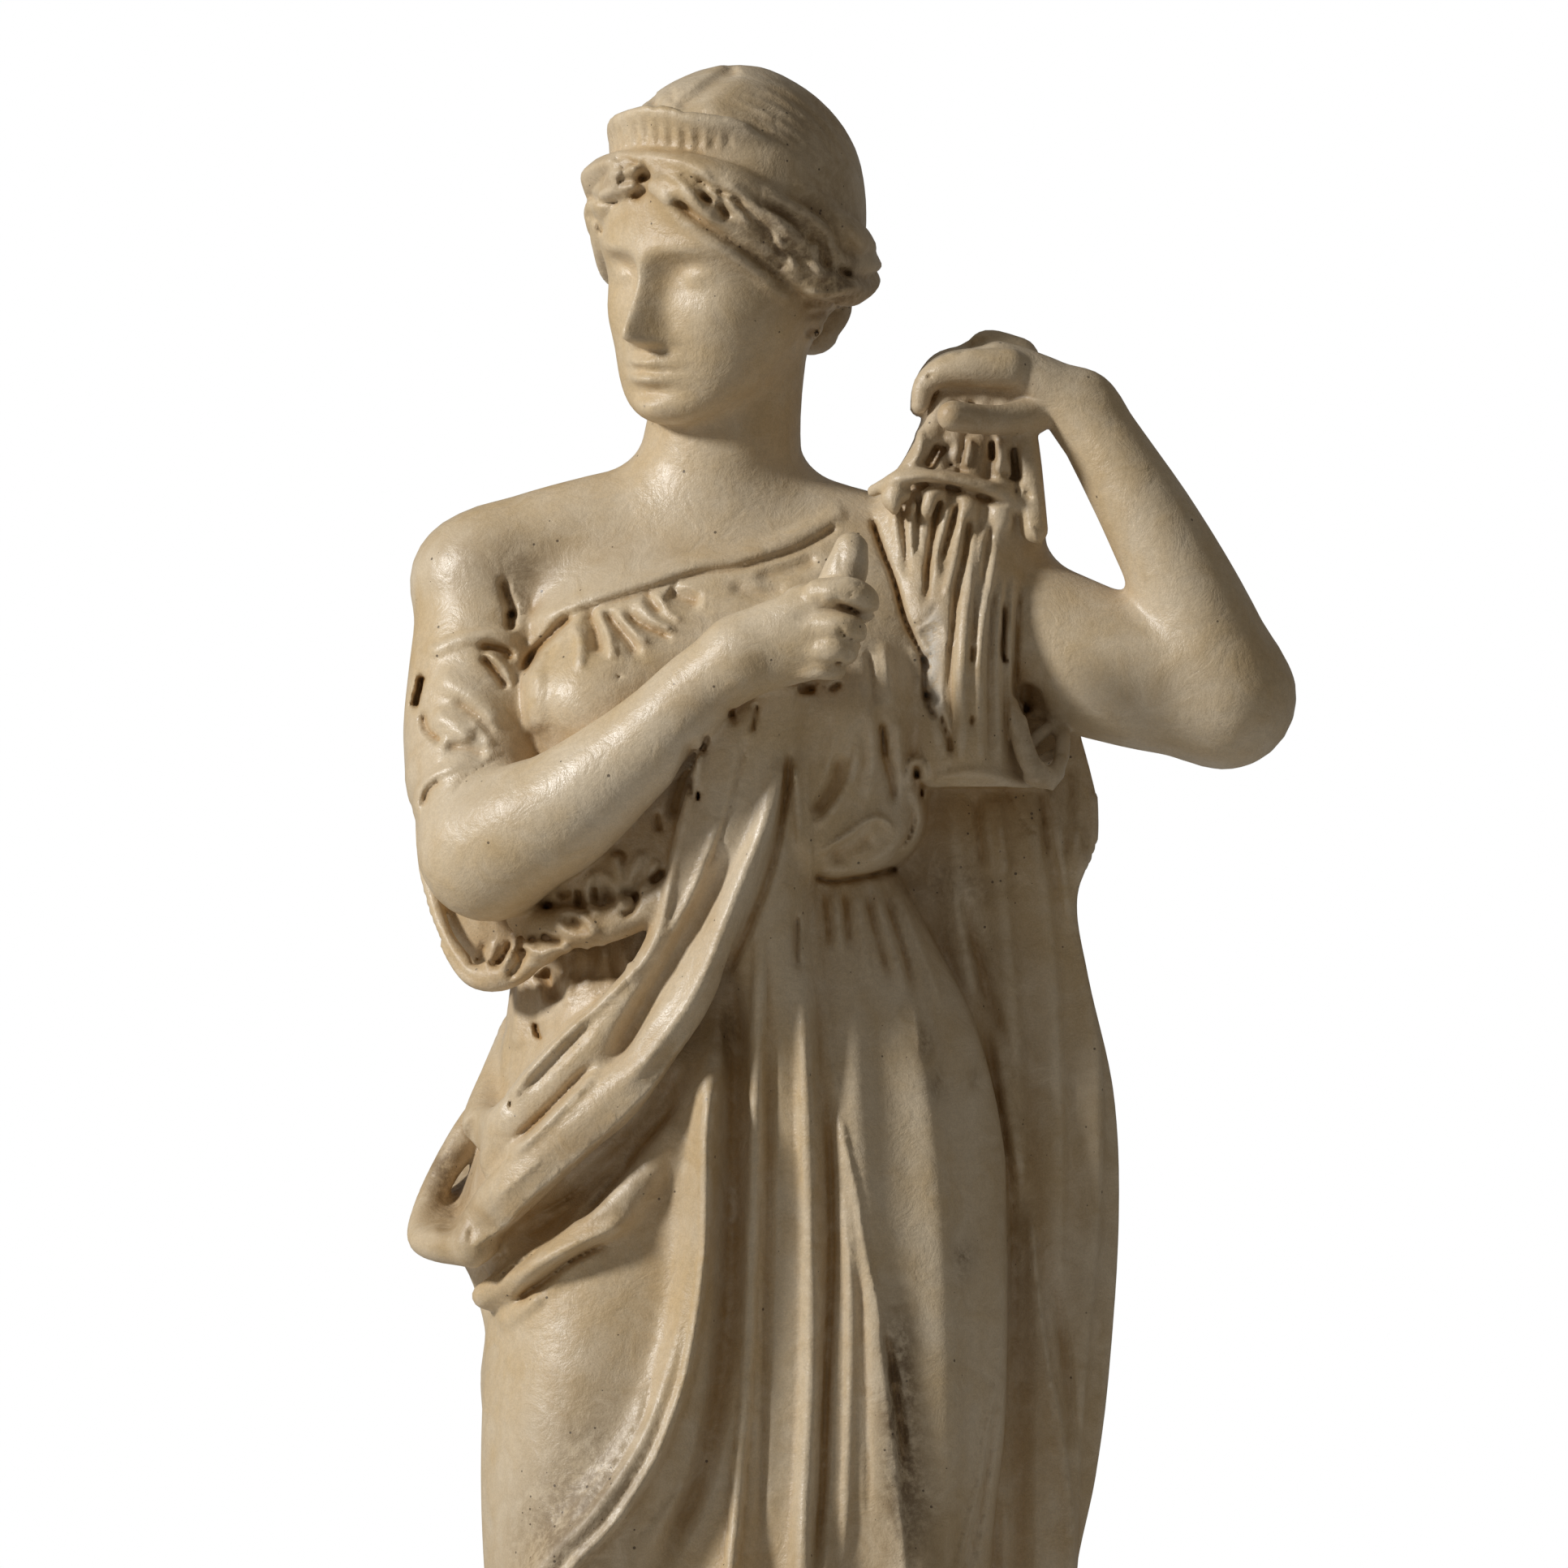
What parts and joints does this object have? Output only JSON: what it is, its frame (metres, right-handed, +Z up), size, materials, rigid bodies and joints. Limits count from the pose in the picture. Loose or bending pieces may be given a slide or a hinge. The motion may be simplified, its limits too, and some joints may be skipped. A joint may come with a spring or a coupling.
{
  "type": "vestal statue",
  "caption": "Standing draped woman cast in one piece with a low round base: one arm across the breast, the other raised to lift a shoulder cloth. Stands free on a floor or pedestal.",
  "frame": {"origin": "centre of the round base's underside", "axes": "+Z up to the crown of the head, -Y the way her body faces, +X towards her left arm"},
  "size_m": [0.3395, 0.2834, 1.0553],
  "materials": {
    "plaster": "aged waxed plaster, satin, with ochre stains in the hollows"
  },
  "bodies": {
    "root": {"statue": "plaster"}
  },
  "joints": []
}
